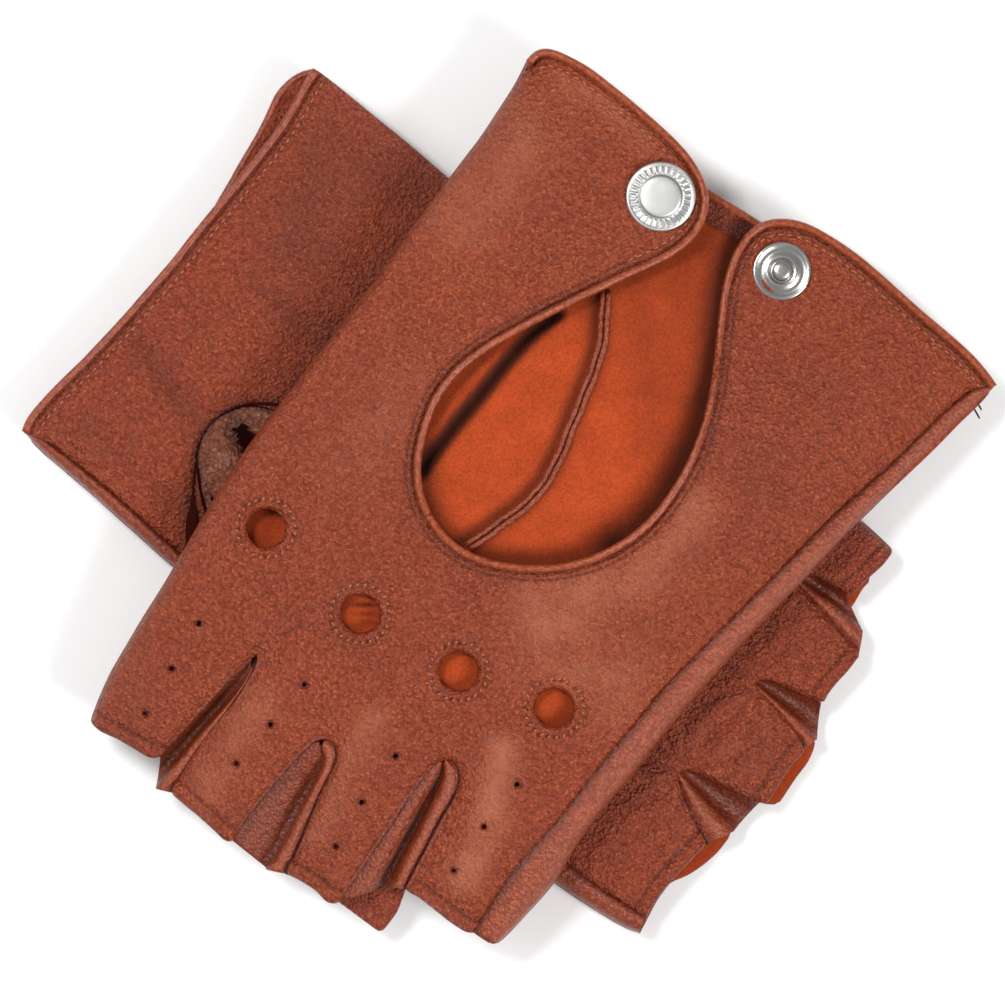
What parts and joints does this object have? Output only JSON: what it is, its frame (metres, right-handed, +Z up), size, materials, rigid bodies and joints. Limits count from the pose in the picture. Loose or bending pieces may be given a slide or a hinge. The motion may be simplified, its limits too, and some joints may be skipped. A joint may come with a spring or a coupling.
{
  "type": "leather driving gloves",
  "caption": "Pair of fingerless leather driving gloves with snap-closed wrist flaps, knuckle holes and perforated fingers, one lying across the other.",
  "frame": {"origin": "centre of the pair's footprint, on the surface it lies on", "axes": "+Z up, +X along the longest extent of the crossed pair; the left glove's fingers point to -X -Y, the right glove's to +X -Y"},
  "size_m": [0.2126, 0.1952, 0.0247],
  "materials": {
    "left_leather": "smooth tan hairsheep, satin",
    "right_leather": "creased tan hairsheep, satin",
    "left_trim_leather": "narrow welted strips of the same leather",
    "right_trim_leather": "narrow welted strips of the same leather",
    "nickel": "polished nickel press snap"
  },
  "bodies": {
    "right_glove": {"right_back_panel": "right_leather", "right_palm_panel": "right_leather", "right_little_side": "right_trim_leather", "right_index_side": "right_trim_leather", "right_index_middle_web": "right_trim_leather", "right_middle_ring_web": "right_trim_leather", "right_ring_little_web": "right_trim_leather", "right_palm_cuff_hem": "right_leather", "right_opening_binding": "right_leather", "right_index_knuckle_facing": "right_trim_leather", "right_middle_knuckle_facing": "right_trim_leather", "right_ring_knuckle_facing": "right_trim_leather", "right_little_knuckle_facing": "right_trim_leather", "right_snap_stud": "nickel", "right_snap_eyelet": "nickel"},
    "right_cap_flap": {"right_cap_flap": "right_leather", "right_cap_flap_binding": "right_leather", "right_snap_cap": "nickel", "right_snap_socket": "nickel"},
    "right_thumb": {"right_thumb": "right_leather"},
    "left_glove": {"left_back_panel": "left_leather", "left_palm_panel": "left_leather", "left_little_side": "left_trim_leather", "left_index_side": "left_trim_leather", "left_index_middle_web": "left_trim_leather", "left_middle_ring_web": "left_trim_leather", "left_ring_little_web": "left_trim_leather", "left_palm_cuff_hem": "left_leather", "left_opening_binding": "left_leather", "left_index_knuckle_facing": "left_trim_leather", "left_middle_knuckle_facing": "left_trim_leather", "left_ring_knuckle_facing": "left_trim_leather", "left_little_knuckle_facing": "left_trim_leather", "left_snap_stud": "nickel", "left_snap_eyelet": "nickel"},
    "left_cap_flap": {"left_cap_flap": "left_leather", "left_cap_flap_binding": "left_leather", "left_snap_cap": "nickel", "left_snap_socket": "nickel"},
    "left_thumb": {"left_thumb": "left_leather"}
  },
  "joints": [
    {"name": "left_glove_lift", "type": "slide", "parent": "right_glove", "child": "left_glove", "axis": [0, 0, 1], "range_m": [0, 0.12]},
    {"name": "left_cap_flap_close", "type": "hinge", "parent": "left_glove", "child": "left_cap_flap", "pos_m": [0.00207, -0.01663, 0.02], "axis": [0, 0, -1], "range_deg": [0, 20.38]},
    {"name": "left_thumb_swing", "type": "hinge", "parent": "left_glove", "child": "left_thumb", "pos_m": [-0.00185, 0.01472, 0.013], "axis": [0, 0, -1], "range_deg": [0, 35]},
    {"name": "right_cap_flap_close", "type": "hinge", "parent": "right_glove", "child": "right_cap_flap", "pos_m": [0.00233, -0.0023, 0.002], "axis": [0, 0, -1], "range_deg": [0, 18.15]},
    {"name": "right_thumb_swing", "type": "hinge", "parent": "right_glove", "child": "right_thumb", "pos_m": [-0.05628, 0.00819, 0.013], "axis": [0, 0, -1], "range_deg": [0, 60]}
  ]
}
